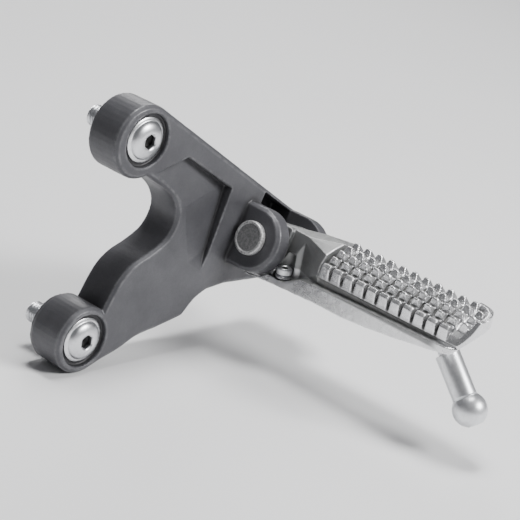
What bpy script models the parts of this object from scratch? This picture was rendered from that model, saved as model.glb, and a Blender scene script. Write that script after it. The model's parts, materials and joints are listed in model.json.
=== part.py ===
"""Folding rider's foot peg for a motorcycle, on the cast hanger bracket that bolts it to the frame.

World axes: +X towards the rear wheel, +Y inboard (towards the motorcycle), +Z up. The origin is on
the upper mounting bolt's axis, in the plane where the bracket seats on the frame.
Lengths are written in millimetres, and MM turns them into metres when a mesh is made.

The hinge frame has its origin on the clevis pin's axis, midway between the ears: local x points
outboard, local y up, and local z forward along the pin.
"""

import math

import bmesh
import bpy
from mathutils import Matrix, Vector

MM = 0.001
GAP = 0.3  # clearance between neighbouring pieces
SIDES = 40  # facets round a full-size cylinder

# Hanger bracket
PLATE_FACE = -20.0
PLATE_BACK = -2.0
PLATE_BEVEL = 1.6
UPPER_BOLT = (0.0, 0.0)
LOWER_BOLT = (-17.4, -90.9)
UPPER_BOSS = (-1.2, -0.8)
UPPER_BOSS_R = 16.8
LOWER_BOSS_R = 15.6
PAD_R = 14.5  # the bosses' faces that seat on the frame
COUNTERBORE_R = 12.4
COUNTERBORE_FLOOR = -17.2
BOLT_HOLE_R = 5.4

# Mounting bolts (M10, flanged button head)
BOLT_R = 5.0
BOLT_FLANGE_R = 10.4
BOLT_HEAD_R = 8.7
BOLT_HEAD_HIGH = 4.2
BOLT_FLANGE_HIGH = 1.3
BOLT_END = 15.0  # how far the thread stands out behind the seat plane
SOCKET_ACROSS_FLATS = 6.0
SOCKET_DEEP = 3.4

# Clevis and its pin
PIN_TILT = math.radians(18)  # the forward end of the pin is the higher one
HINGE_CENTRE = (85.8, -29.6, -56.0)
FRONT_EAR = (10.5, 19.0)  # from the inner to the outer face, along the pin
REAR_EAR = (-13.0, -21.0)
FRONT_EAR_R = 15.2
REAR_EAR_R = 16.5
EAR_ROOT = -12.0
EAR_CHAMFER = 1.6
PLATE_IN_HINGE = -9.6  # the plate's outer face, in the hinge frame
PIN_R = 4.9
PIN_HOLE_R = 5.2
PIN_HEAD_R = 8.0
PIN_HEAD_HIGH = 2.7
PIN_TAIL = -27.6
WASHER_R = 8.6
WASHER_THICK = 1.4
SPLIT_PIN_R = 1.1
SPLIT_PIN_AT = -24.8

# Peg
LUG_FRONT = FRONT_EAR[0] - GAP
LUG_REAR = REAR_EAR[0] + GAP
LUG_R = 9.2
LUG_TOP = 11.6
HEEL_DEPTH = PLATE_IN_HINGE + GAP  # the heel rests on the plate when the peg is down
HEEL_LOW = -13.0
HEEL_TOP = -3.0
TREAD_START = 67.5
TREAD_END = 153.2
TREAD_HALF = 12.4
TREAD_MID_X = 83.2
TIP_LONG = 13.0
CROWN_R = 32.0
CROWN_TILT = math.radians(23)
CROWN_MID = (81.9, -42.2)
TOOTH_HIGH = 3.7
RIM_WIDE = 2.3
ROW_PITCH = 5.1
COLUMN_PITCH = 6.9
COLUMN_FIRST = 71.2
COLUMNS = 12
FLANGE_FRONT = 70.6
GROOVE_TOP = -54.3
GROOVE_DEEP = 3.0  # behind the flange's front face
FLANGE_TOP_INBOARD = -58.6  # the flange rises towards the tip
FLANGE_TOP_OUTBOARD = -55.2
FLANGE_LOW = -66.2

# Return spring
WIRE_R = 0.95
COIL_R = 6.6
COIL_TURNS = 2.25
COIL_REAR = -11.2
COIL_FRONT = -4.0
CHAMBER_R = 7.9
CHAMBER_FRONT = -2.6
EYE_R = 3.0
EYE_CENTRE = (74.8, -46.4, -63.0)
SCREW_END = -66.8

# Feeler bolt
FEELER_ROOT = (83.0, -132.4, -57.8)
FEELER_LEAN = math.radians(43.7)  # from straight down towards outboard
FEELER_R = 5.6
FEELER_THREAD_R = 3.8
FEELER_SEAT = 8.2
FEELER_LONG = 34.0
BALL_R = 7.8


def clear_scene():
    for obj in list(bpy.data.objects):
        bpy.data.objects.remove(obj, do_unlink=True)


def finish_material(name, colour, roughness, metallic):
    material = bpy.data.materials.new(name)
    material.use_nodes = True
    shader = material.node_tree.nodes["Principled BSDF"]
    shader.inputs["Base Color"].default_value = (*colour, 1.0)
    shader.inputs["Roughness"].default_value = roughness
    shader.inputs["Metallic"].default_value = metallic
    return material


def new_object(name, bm, frame=None, material=None):
    """A mesh object from a bmesh in millimetres, placed by a frame matrix whose origin is in millimetres."""
    bmesh.ops.recalc_face_normals(bm, faces=bm.faces)
    bmesh.ops.scale(bm, vec=(MM, MM, MM), verts=bm.verts)
    mesh = bpy.data.meshes.new(name)
    bm.to_mesh(mesh)
    bm.free()
    mesh.shade_smooth()
    mesh.set_sharp_from_angle(angle=math.radians(32))
    obj = bpy.data.objects.new(name, mesh)
    bpy.context.scene.collection.objects.link(obj)
    if frame is not None:
        placed = frame.copy()
        placed.translation = frame.translation * MM
        obj.matrix_world = placed
    if material is not None:
        mesh.materials.append(material)
    return obj


def combine(target, operation, *tools):
    """One Boolean with a group of tools, which stay in the scene as unrendered wire guides."""
    group = bpy.data.collections.new(f"{target.name} {operation} {tools[0].name}")
    for tool in tools:
        group.objects.link(tool)
        tool.hide_render = True
        tool.display_type = "WIRE"
    modifier = target.modifiers.new(operation, "BOOLEAN")
    modifier.operation = operation
    modifier.solver = "EXACT"
    modifier.operand_type = "COLLECTION"
    modifier.collection = group


def frame_at(origin, x_axis, y_axis):
    """A right-handed frame from its origin and two unit axes."""
    x_axis = Vector(x_axis)
    y_axis = Vector(y_axis)
    z_axis = x_axis.cross(y_axis)
    turn = Matrix((x_axis, y_axis, z_axis)).transposed()
    return Matrix.Translation(Vector(origin)) @ turn.to_4x4()


HINGE = frame_at(
    HINGE_CENTRE,
    (0.0, -1.0, 0.0),
    (math.sin(PIN_TILT), 0.0, math.cos(PIN_TILT)),
)


def prism(name, outline, low, high, frame=None, material=None, bevel=0.0):
    """An outline in local x and y, extruded from low to high along z, with its top rim chamfered."""
    bm = bmesh.new()
    base = bm.faces.new([bm.verts.new((x, y, low)) for x, y in outline])
    raised = bmesh.ops.extrude_face_region(bm, geom=[base])
    top = [item for item in raised["geom"] if isinstance(item, bmesh.types.BMVert)]
    bmesh.ops.translate(bm, vec=(0, 0, high - low), verts=top)
    if bevel:
        rim = [edge for edge in bm.edges if all(vert.co.z > high - 1e-4 for vert in edge.verts)]
        bmesh.ops.bevel(bm, geom=rim, offset=bevel, segments=1, profile=0.5, affect="EDGES")
    return new_object(name, bm, frame, material)


def plate_prism(name, outline, inner_y, outer_y, material=None, bevel=0.0):
    """A prism whose outline is in world X and Z, running outboard from inner_y to outer_y."""
    frame = frame_at((0, 0, 0), (1, 0, 0), (0, 0, 1))
    return prism(name, outline, -inner_y, -outer_y, frame, material, bevel)


def turned(name, profile, frame=None, material=None, sides=SIDES):
    """A solid of revolution about local z from (radius, z) points that start and end on the axis."""
    bm = bmesh.new()
    line = [bm.verts.new((radius, 0, z)) for radius, z in profile]
    edges = [bm.edges.new(pair) for pair in zip(line, line[1:])]
    bmesh.ops.spin(
        bm, geom=line + edges, axis=(0, 0, 1), cent=(0, 0, 0), angle=math.tau, steps=sides
    )
    bmesh.ops.remove_doubles(bm, verts=bm.verts, dist=1e-4)
    flat = math.radians(0.5)
    bmesh.ops.dissolve_limit(bm, angle_limit=flat, verts=bm.verts, edges=bm.edges)
    return new_object(name, bm, frame, material)


def ring(name, inner, outer, low, high, frame=None, material=None, sides=SIDES):
    """A flat ring about local z."""
    bm = bmesh.new()
    corners = ((inner, low), (outer, low), (outer, high), (inner, high))
    line = [bm.verts.new((radius, 0, z)) for radius, z in corners]
    edges = [bm.edges.new((line[i], line[(i + 1) % 4])) for i in range(4)]
    bmesh.ops.spin(
        bm, geom=line + edges, axis=(0, 0, 1), cent=(0, 0, 0), angle=math.tau, steps=sides
    )
    bmesh.ops.remove_doubles(bm, verts=bm.verts, dist=1e-4)
    return new_object(name, bm, frame, material)


def rod(name, radius, low, high, frame=None, material=None, sides=SIDES):
    return turned(
        name, [(0, high), (radius, high), (radius, low), (0, low)], frame, material, sides
    )


def hull(name, points, frame=None):
    """The convex hull of a few corner points."""
    bm = bmesh.new()
    for point in points:
        bm.verts.new(point)
    made = bmesh.ops.convex_hull(bm, input=bm.verts)
    spare = [item for item in made["geom_interior"] if isinstance(item, bmesh.types.BMVert)]
    bmesh.ops.delete(bm, geom=spare, context="VERTS")
    flat = math.radians(0.5)
    bmesh.ops.dissolve_limit(bm, angle_limit=flat, verts=bm.verts, edges=bm.edges)
    return new_object(name, bm, frame)


def box(name, x_range, y_range, z_range, frame=None):
    corners = [(x, y, z) for x in x_range for y in y_range for z in z_range]
    return hull(name, corners, frame)


def tube(name, points, radius, frame, material, resolution=3):
    """A round wire along a path of local points."""
    curve = bpy.data.curves.new(name, "CURVE")
    curve.dimensions = "3D"
    curve.bevel_depth = radius * MM
    curve.bevel_resolution = resolution
    curve.use_fill_caps = True
    spline = curve.splines.new("POLY")
    spline.points.add(len(points) - 1)
    for target, point in zip(spline.points, points):
        target.co = (*[value * MM for value in point], 1)
    curve.materials.append(material)
    obj = bpy.data.objects.new(name, curve)
    bpy.context.scene.collection.objects.link(obj)
    placed = frame.copy()
    placed.translation = frame.translation * MM
    obj.matrix_world = placed
    return obj


def arc(centre, radius, start, end, steps):
    """Points round an arc, with angles in degrees."""
    angles = [math.radians(start + (end - start) * i / steps) for i in range(steps + 1)]
    return [(centre[0] + radius * math.cos(a), centre[1] + radius * math.sin(a)) for a in angles]


def hexagon(across_flats):
    return arc((0, 0), across_flats / math.sqrt(3), 0, 300, 5)


def outboard_frame(x, z):
    """Local z points outboard, local x aft and local y up."""
    return frame_at((x, 0, z), (1, 0, 0), (0, 0, 1))


def smooth_line(points, steps=5):
    """A Catmull-Rom curve through the points, with the end points repeated."""
    padded = [Vector(point) for point in (points[0], *points, points[-1])]
    line = []
    for before, start, end, after in zip(padded, padded[1:], padded[2:], padded[3:]):
        leaving = (end - before) / 2
        arriving = (after - start) / 2
        for t in (step / steps for step in range(steps)):
            spot = start * (2 * t**3 - 3 * t**2 + 1) + end * (3 * t**2 - 2 * t**3)
            spot += leaving * (t**3 - 2 * t**2 + t) + arriving * (t**3 - t**2)
            line.append(tuple(spot))
    return [*line, points[-1]]


def bracket_outline():
    """Clockwise from where the top edge leaves the upper boss."""
    upper_boss = arc(UPPER_BOSS, UPPER_BOSS_R, -72, -302, 26)
    top_edge = [(102.0, -42.6), (110.5, -47.5), (111.4, -52.0), (103.5, -73.5), (99.0, -78.0)]
    underside = [(67.0, -76.7), *smooth_line([(56.0, -78.0), (48.6, -81.8), (42.0, -89.0)], 4)]
    lower_arm = smooth_line([(25.7, -92.6), (15.0, -94.6), (5.2, -99.2), (-4.0, -102.2)], 4)
    lower_boss = arc(LOWER_BOLT, LOWER_BOSS_R, -76, -304, 26)
    lower_side = [(-6.0, -72.4), (-1.5, -64.2), (5.2, -58.1), (15.0, -53.6), (22.4, -48.8)]
    crotch = [(26.2, -42.5), (26.6, -36.0), (22.6, -29.0), (15.4, -23.2)]
    window = smooth_line(lower_side + crotch)
    return upper_boss + top_edge + underside + lower_arm + lower_boss + window


def ear(name, span, radius):
    """One clevis ear: a D-shaped plate from its inner face to its outer one, which is chamfered."""
    outline = [(EAR_ROOT, -radius), *arc((0, 0), radius, -90, 90, 20), (EAR_ROOT, radius)]
    inner, outer = span
    frame = HINGE @ Matrix.Translation((0, 0, inner))
    if outer < inner:
        frame = frame @ Matrix.Rotation(math.pi, 4, "X")
    return prism(name, outline, 0, abs(outer - inner), frame, None, EAR_CHAMFER)


def sloping_cutter(name, corners):
    """A cutter over a polygon of the plate's face, with a floor depth (world Y) at each corner."""
    above = PLATE_FACE - 10.0
    rim = [(x, above, z) for x, z, _ in corners]
    floor = [(x, depth, z) for x, z, depth in corners]
    return hull(name, rim + floor)


def recess_cutters():
    """Two facets that slope from the window's side down to the foot of the raised rim and rib.

    They meet in a crease from the window's inner corner to the foot of the rib, and each cutter runs a
    little past it on its own plane.
    """
    level = PLATE_FACE - 0.15
    crease_high = (29.7, -33.2, level)
    crease_low = (59.2, -28.4, -14.7)
    beside_window = [
        (8.2, -15.7, level),
        crease_high,
        (35.0, -34.4, -19.5),
        (58.6, -30.0, -15.1),
        crease_low,
        (27.3, -10.3, -16.6),
    ]
    before_rib = [
        crease_high,
        (34.0, -31.0, -19.4),
        (54.0, -27.6, -15.5),
        crease_low,
        (51.4, -58.2, -17.2),
        (47.6, -68.0, level),
        (38.0, -62.0, level),
    ]
    return [
        sloping_cutter("facet_beside_window", beside_window),
        sloping_cutter("facet_before_rib", before_rib),
    ]


def hinge_section(corners):
    """World (X, Z) of corners given as (up, forward) in the hinge frame."""
    placed = [HINGE @ Vector((0, up, forward)) for up, forward in corners]
    return [(point.x, point.z) for point in placed]


def clevis_pocket():
    """The hollow in the plate between the ears, which clears the knuckle as it turns."""
    low, deep = HEEL_TOP + GAP, -8.0
    corners = [(low, LUG_FRONT), (20.9, LUG_FRONT), (16.0, LUG_REAR), (low, LUG_REAR)]
    return plate_prism("clevis_pocket", hinge_section(corners), deep, PLATE_FACE - 8.0)


def make_bracket(material):
    bracket = plate_prism(
        "hanger_bracket", bracket_outline(), PLATE_BACK, PLATE_FACE, material, PLATE_BEVEL
    )
    pads = []
    holes = []
    for label, (x, z) in (("upper", UPPER_BOLT), ("lower", LOWER_BOLT)):
        frame = outboard_frame(x, z)
        pads.append(rod(f"{label}_pad", PAD_R, 0, 6.0, frame))
        floor = -COUNTERBORE_FLOOR
        bore = [(0, 30), (COUNTERBORE_R, 30), (COUNTERBORE_R, floor), (BOLT_HOLE_R, floor)]
        holes.append(turned(f"{label}_bore", [*bore, (BOLT_HOLE_R, -5), (0, -5)], frame))
    ears = [ear("front_ear", FRONT_EAR, FRONT_EAR_R), ear("rear_ear", REAR_EAR, REAR_EAR_R)]
    pin_hole = rod("pin_hole", PIN_HOLE_R, -30, 30, HINGE)
    spring_hole = rod(
        "spring_leg_hole",
        WIRE_R + GAP,
        REAR_EAR[1] + 3.0,
        0,
        HINGE @ Matrix.Translation((-COIL_R, 0, 0)),
        sides=12,
    )
    combine(bracket, "DIFFERENCE", *recess_cutters())
    combine(bracket, "UNION", *pads, *ears)
    combine(bracket, "DIFFERENCE", *holes, pin_hole, spring_hole, clevis_pocket())
    return bracket


def make_bolts(material):
    seat = -COUNTERBORE_FLOOR + GAP
    flange_top = seat + BOLT_FLANGE_HIGH
    head_top = seat + BOLT_HEAD_HIGH
    dome = [
        (BOLT_HEAD_R * math.cos(a), flange_top + (head_top - flange_top) * math.sin(a))
        for a in (math.radians(step) for step in (58, 44, 30, 15, 0))
    ]
    profile = [
        (0, head_top),
        (SOCKET_ACROSS_FLATS * 0.66, head_top),
        *dome,
        (BOLT_FLANGE_R - 0.6, flange_top),
        (BOLT_FLANGE_R, flange_top - 0.6),
        (BOLT_FLANGE_R, seat),
        (BOLT_R, seat),
        (BOLT_R, -BOLT_END + 1.0),
        (BOLT_R - 1.0, -BOLT_END),
        (0, -BOLT_END),
    ]
    for label, (x, z) in (("upper", UPPER_BOLT), ("lower", LOWER_BOLT)):
        frame = outboard_frame(x, z)
        bolt = turned(f"{label}_mount_bolt", profile, frame, material)
        socket = prism(
            f"{label}_socket", hexagon(SOCKET_ACROSS_FLATS), head_top - SOCKET_DEEP, 40, frame
        )
        combine(bolt, "DIFFERENCE", socket)


def make_pin(pin_material, washer_material, clip_material):
    face = FRONT_EAR[1] + GAP
    profile = [
        (0, face + PIN_HEAD_HIGH),
        (PIN_HEAD_R - 0.9, face + PIN_HEAD_HIGH),
        (PIN_HEAD_R, face + PIN_HEAD_HIGH - 0.9),
        (PIN_HEAD_R, face),
        (PIN_R, face),
        (PIN_R, PIN_TAIL + 0.8),
        (PIN_R - 0.8, PIN_TAIL),
        (0, PIN_TAIL),
    ]
    pin = turned("clevis_pin", profile, HINGE, pin_material)
    across = HINGE @ Matrix.Translation((0, 0, SPLIT_PIN_AT)) @ Matrix.Rotation(math.pi / 2, 4, "X")
    combine(pin, "DIFFERENCE", rod("split_pin_hole", SPLIT_PIN_R + 0.3, -8, 8, across, sides=16))
    washer_top = REAR_EAR[1] - GAP
    ring(
        "pin_washer",
        PIN_R + GAP,
        WASHER_R,
        washer_top - WASHER_THICK,
        washer_top,
        HINGE,
        washer_material,
    )
    make_split_pin(clip_material)


def make_split_pin(material):
    """A split pin through the clevis pin's tail: an eye above, a shank, and one leg bent over below."""
    eye_r = 2.1
    eye_y = PIN_R + eye_r + 1.4
    eye = [
        (eye_r * math.sin(a), eye_y + eye_r * math.cos(a), 0)
        for a in (math.radians(-140 + 22 * i) for i in range(14))
    ]
    shank = [(0.0, PIN_R + 0.6, 0.0), (0.0, 0.0, 0.0), (0.0, -PIN_R - 0.9, 0.0)]
    bent_leg = [(0.9, -PIN_R - 2.0, 0.0), (2.6, -PIN_R - 2.6, 0.0), (5.2, -PIN_R - 2.3, 0.0)]
    frame = HINGE @ Matrix.Translation((0, 0, SPLIT_PIN_AT))
    tube("split_pin", eye + shank + bent_leg, SPLIT_PIN_R, frame, material, resolution=2)


def crown(along, above):
    """World (X, Z) on the tread's crowned section: arc distance from the middle row, height off the tips."""
    centre_x = CROWN_MID[0] + CROWN_R * math.sin(CROWN_TILT)
    centre_z = CROWN_MID[1] - CROWN_R * math.cos(CROWN_TILT)
    lean = CROWN_TILT - along / CROWN_R
    return (
        centre_x - (CROWN_R + above) * math.sin(lean),
        centre_z + (CROWN_R + above) * math.cos(lean),
    )


def body_section():
    """The tread body's section: crowned deck, flange along the front, rear wall."""
    front = FLANGE_FRONT + 1.6
    deck = [crown(ROW_PITCH * step, -TOOTH_HIGH) for step in (-2.3, -1.5, -0.75, 0, 0.75, 1.5, 2.3)]
    rear = TREAD_MID_X + TREAD_HALF
    flange = [(front, GROOVE_TOP), (FLANGE_FRONT, GROOVE_TOP - 0.6), (FLANGE_FRONT, FLANGE_LOW)]
    flange += [(FLANGE_FRONT + 3, FLANGE_LOW)]
    back_wall = [(rear - 3.0, -60.6), (rear, -60.0), (rear, deck[-1][1])]
    return flange + back_wall + deck[::-1]


def groove_cutter():
    """The groove between the front blocks and the flange, narrower towards the tip."""
    mouth, wall = FLANGE_FRONT - 2.0, FLANGE_FRONT + GROOVE_DEEP
    under_blocks = [(mouth, GROOVE_TOP + 1.2), (FLANGE_FRONT + 1.6, GROOVE_TOP)]
    inboard = [(wall, GROOVE_TOP - 0.7), (wall, FLANGE_TOP_INBOARD + 0.8), (mouth, FLANGE_TOP_INBOARD - 0.5)]
    outboard = [(wall, GROOVE_TOP - 0.3), (wall, GROOVE_TOP - 0.5), (mouth, FLANGE_TOP_OUTBOARD - 0.4)]
    points = [(x, -TREAD_START + 4.0, z) for x, z in under_blocks + inboard]
    points += [(x, -TREAD_END - 6.0, z) for x, z in under_blocks + outboard]
    return hull("groove", points)


def tip_plan(grow=0.0):
    """The tread's outline seen from above, as (X, distance outboard): straight sides and a round tip."""
    shoulder = TREAD_END - TIP_LONG
    power = 2.0 / 2.3
    round_tip = []
    for step in range(25):
        angle = math.pi * step / 24
        side = math.copysign(abs(math.cos(angle)) ** power, math.cos(angle))
        reach = abs(math.sin(angle)) ** power
        x = TREAD_MID_X - (TREAD_HALF + 0.2 + grow) * side
        round_tip.append((x, shoulder + (TIP_LONG + grow) * reach))
    return [(TREAD_MID_X + 30, 20), (TREAD_MID_X - 30, 20), (TREAD_MID_X - 30, shoulder)] + [
        *round_tip,
        (TREAD_MID_X + 30, shoulder),
    ]


def down_frame():
    """Local x aft, local y outboard, local z straight down."""
    return frame_at((0, 0, 0), (1, 0, 0), (0, -1, 0))


def tooth_rows():
    """Section polygons of the five rows, front to back. The front row is a row of tall blocks."""
    front = FLANGE_FRONT + 1.6
    rows = [
        [
            (front, GROOVE_TOP + 0.1),
            (front, -48.6),
            crown(-2 * ROW_PITCH - 0.5, 0),
            crown(-2 * ROW_PITCH + 0.5, 0),
            crown(-1.5 * ROW_PITCH, -TOOTH_HIGH * 0.8),
            crown(-1.5 * ROW_PITCH, -TOOTH_HIGH - 1.5),
            (front + 1.5, -54.5),
        ]
    ]
    for row in (-1, 0, 1, 2):
        middle = row * ROW_PITCH
        half = ROW_PITCH * 0.48
        rows.append(
            [
                crown(middle - half, -TOOTH_HIGH - 1.5),
                crown(middle - half, -TOOTH_HIGH * 0.8),
                crown(middle - 0.45, 0),
                crown(middle + 0.45, 0),
                crown(middle + half, -TOOTH_HIGH * 0.8),
                crown(middle + half, -TOOTH_HIGH - 1.5),
            ]
        )
    return rows


def tread_half_width(outboard):
    """Half the tread's width at a distance outboard, which shrinks round the tip."""
    reach = max(0.0, outboard - (TREAD_END - TIP_LONG)) / TIP_LONG
    return TREAD_HALF * max(0.0, 1 - reach**2.3) ** (1 / 2.3)


def make_teeth():
    """Every tooth as one mesh of separate wedges, each sunk into the deck."""
    bm = bmesh.new()
    rows = tooth_rows()
    for column in range(COLUMNS):
        middle = COLUMN_FIRST + column * COLUMN_PITCH
        rim = tread_half_width(middle + 3.0) - 2.0
        for index, section in enumerate(rows):
            tip_x = crown((index - 2) * ROW_PITCH, 0)[0]
            if column == COLUMNS - 1 and abs(tip_x - TREAD_MID_X) > rim:
                continue
            base_half = 2.75 if index == 0 else 3.25
            top_half = 2.3 if index == 0 else 1.2
            lowest = min(z for _, z in section)
            highest = max(z for _, z in section)
            loops = []
            for side in (-1, 1):
                loop = []
                for x, z in section:
                    share = (z - lowest) / (highest - lowest)
                    half = base_half + (top_half - base_half) * share
                    loop.append(bm.verts.new((x, -(middle + side * half), z)))
                loops.append(loop)
            count = len(section)
            bm.faces.new(loops[0])
            bm.faces.new(loops[1][::-1])
            for i in range(count):
                j = (i + 1) % count
                bm.faces.new((loops[0][i], loops[0][j], loops[1][j], loops[1][i]))
    return new_object("tread_teeth", bm)


def flange_under_ear():
    """The front flange where it reaches inboard under the clevis, hollowed to clear the ear."""
    outline = [(-27.0, -67.2), (-27.0, -68.7), (-42.0, -67.4), (-69.0, FLANGE_LOW)]
    outline += [(-69.0, FLANGE_TOP_INBOARD), (-60.0, -59.0), (-50.0, -63.9), (-36.0, -63.9)]
    frame = frame_at((0, 0, 0), (0, 1, 0), (0, 0, 1))
    flange = prism("flange_root", outline, FLANGE_FRONT, 80.0, frame)
    combine(flange, "DIFFERENCE", rod("ear_sweep", FRONT_EAR_R + 0.9, 8, 30, HINGE))
    return flange


def make_neck():
    """The neck: a block out of the hinge lug, then a flare to the tread's full section."""
    lug_end = [
        (x, y, z)
        for x in (6.0, 13.0)
        for y in (-12.6, LUG_TOP)
        for z in (LUG_REAR, LUG_FRONT - 3.4)
    ]
    inner = [HINGE @ Vector(point) for point in lug_end]
    front, rear, waist_y = 79.2, 94.6, -52.0
    waist_section = [(front, -64.0), (front, -45.4), (front + 1.2, -42.4), (rear, -43.4), (rear, -61.5)]
    waist = [(x, waist_y, z) for x, z in waist_section]
    block = hull("neck_block", [*inner, *waist])
    tread_front = FLANGE_FRONT + 1.9
    tread_rear = TREAD_MID_X + TREAD_HALF
    end_section = [
        (FLANGE_FRONT + GROOVE_DEEP, -57.6),
        (FLANGE_FRONT + GROOVE_DEEP, -54.8),
        (tread_front, -53.6),
        (tread_front + 0.8, -49.0),
        (76.0, -44.6),
        (82.0, -42.2),
        (87.0, -40.8),
        (tread_rear, -42.0),
        (tread_rear, -60.0),
        (tread_front + 3.0, -64.5),
    ]
    flare = hull("neck_flare", [*waist, *[(x, -TREAD_START, z) for x, z in end_section]])
    combine(block, "UNION", flare)
    return block


def rim_slope():
    """(X, Z) ends of the slope by which the tip's rim comes down to the flange at the front."""
    return (71.9, -55.2), (80.3, -42.6)


def make_tip_wall():
    """The plain rim round the tip: as high as the teeth behind, sloping down to the flange in front."""
    low, high = rim_slope()
    crest = [crown(ROW_PITCH * step, -0.9) for step in (0.3, 0.9, 1.5, 2.0, 2.4)]
    rear = TREAD_MID_X + TREAD_HALF + 0.5
    outline = [low, high, *crest, (rear, crest[-1][1]), (rear, -53.0), (78.0, -56.0), (72.0, -59.0)]
    wall = plate_prism("tip_wall", outline, -140.0, -160.0)
    inside = prism("tip_wall_inside", tip_plan(-RIM_WIDE), -10, 120, down_frame())
    combine(wall, "DIFFERENCE", inside)
    return wall


def rim_step_cutter():
    """Cuts the deck's front corner back from the sloping rim."""
    (low_x, low_z), (high_x, high_z) = rim_slope()
    outline = [(60.0, low_z), (low_x, low_z), (high_x, high_z), (high_x, -30.0), (60.0, -30.0)]
    step = plate_prism("rim_step", outline, -143.8, -165.0)
    combine(step, "DIFFERENCE", prism("rim_step_inside", tip_plan(-RIM_WIDE - 0.05), -10, 120, down_frame()))
    return step


def tip_undercut():
    """The slope under the tip, about square to the feeler bolt and rising towards the rear."""
    rise_outboard, rise_aft = 0.954, 0.37
    corners = [
        (x, -p, -48.7 + rise_outboard * (p - 153.5) + rise_aft * (x - 81.2))
        for x in (TREAD_MID_X - TREAD_HALF - 5, TREAD_MID_X + TREAD_HALF + 5)
        for p in (137.0, 160.0)
    ]
    below = [(x, y, -90.0) for x, y, _ in corners]
    return hull("tip_undercut", corners + below)


def underside_cutters():
    """Three pockets under the tread, with ribs between them."""
    roof = [(74.0, -62.6), (77.4, -58.8), (84.0, -53.4), (91.8, -50.6), (92.6, -75.0), (74.0, -75.0)]
    spans = ((72.0, 94.0), (97.0, 119.0))
    return [
        plate_prism(f"underside_pocket_{index}", roof, -start, -end)
        for index, (start, end) in enumerate(spans)
    ]


def make_peg(material):
    """The cast peg. Its origin is on the hinge axis."""
    peg = rod("peg_casting", LUG_R, LUG_REAR, LUG_FRONT, HINGE, material)
    heel = box(
        "peg_heel", (HEEL_DEPTH, 12.0), (HEEL_LOW, HEEL_TOP), (LUG_REAR, LUG_FRONT), HINGE
    )
    knuckle_top = [(12.2, LUG_TOP), (1.0, LUG_TOP), (-2.0, 10.6), (-5.2, 7.4), (-5.2, 0)]
    shoulder = prism(
        "peg_shoulder",
        [(0, -LUG_R), (12.6, -LUG_R), (13.2, LUG_TOP - 1.2), *knuckle_top, (0, 0)],
        LUG_REAR,
        LUG_FRONT,
        HINGE,
    )
    body = plate_prism("tread_body", body_section(), 1.0 - TREAD_START, -TREAD_END - 4)
    combine(body, "UNION", make_tip_wall(), make_teeth())
    combine(body, "INTERSECT", prism("tip_plan", tip_plan(), -10, 130, down_frame()))
    taper = [(-86, FLANGE_LOW - 0.02), (-100, -65.1), (-118, -63.0), (-137, -60.1), (-170, -55.0)]
    taper += [(-170, -90), (-86, -90)]
    side = frame_at((0, 0, 0), (0, 1, 0), (0, 0, 1))
    taper_tool = prism("underside_taper", taper, 40, 120, side)
    cutters = [groove_cutter(), taper_tool, tip_undercut(), rim_step_cutter()]
    combine(body, "DIFFERENCE", *cutters, *underside_cutters())
    combine(peg, "UNION", heel, shoulder, make_neck(), flange_under_ear(), body)

    chamber = rod("spring_chamber", CHAMBER_R, -40, CHAMBER_FRONT, HINGE)
    leg_way = box("spring_leg_way", (1.0, 17.5), (-30.0, -5.2), (-5.6, CHAMBER_FRONT + 0.1), HINGE)
    leg_front = box("spring_leg_front", (13.6, 18.4), (-9.9, -6.2), (-5.6, 20.0), HINGE)
    pin_bore = rod("peg_bore", PIN_HOLE_R, -30, 30, HINGE)
    combine(peg, "DIFFERENCE", chamber, leg_way, leg_front, pin_bore)

    shelf = prism(
        "screw_shelf",
        arc((EYE_CENTRE[0], -EYE_CENTRE[1]), EYE_R + WIRE_R + GAP, 0, 345, 23),
        64.3 - 12.0,
        64.3,
        down_frame(),
    )
    screw_hole = rod(
        "screw_hole", 1.9, -75, -55, Matrix.Translation((EYE_CENTRE[0], EYE_CENTRE[1], 0)), sides=16
    )
    feeler_hole = rod("feeler_hole", FEELER_THREAD_R + GAP, -11.0, 30.0, feeler_frame(), sides=24)
    feeler_seat = rod("feeler_seat", FEELER_R + 0.6, FEELER_SEAT - GAP, 30.0, feeler_frame(), sides=24)
    combine(peg, "DIFFERENCE", shelf, screw_hole, feeler_hole, feeler_seat)
    return peg


def spring_path():
    """From the leg in the rear ear's hole, round the coil, and out to an eye on the flange's shelf."""
    rear_leg = [(-COIL_R, 0.0, REAR_EAR[1] + 4.5), (-COIL_R, 0.0, COIL_REAR - 0.6)]
    coil = []
    steps = 45
    for step in range(steps + 1):
        share = step / steps
        angle = math.pi + math.tau * COIL_TURNS * share
        z = COIL_REAR + (COIL_FRONT - COIL_REAR) * share
        coil.append((COIL_R * math.cos(angle), COIL_R * math.sin(angle), z))
    to_hinge = HINGE.inverted()
    eye = []
    for step in range(17):
        angle = math.radians(20 - 19 * step)
        world = Vector(EYE_CENTRE) + Vector((EYE_R * math.cos(angle), EYE_R * math.sin(angle), 0))
        eye.append(tuple(to_hinge @ world))
    run = [
        (6.0, -COIL_R - 0.1, COIL_FRONT),
        (12.0, -COIL_R - 0.7, COIL_FRONT),
        (14.4, -7.6, COIL_FRONT + 0.6),
        (15.2, -7.9, COIL_FRONT + 2.4),
        (15.6, -8.6, COIL_FRONT + 5.2),
    ]
    return rear_leg + coil + run + eye


def make_spring(material):
    tube("return_spring", spring_path(), WIRE_R, HINGE, material, resolution=2)


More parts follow.
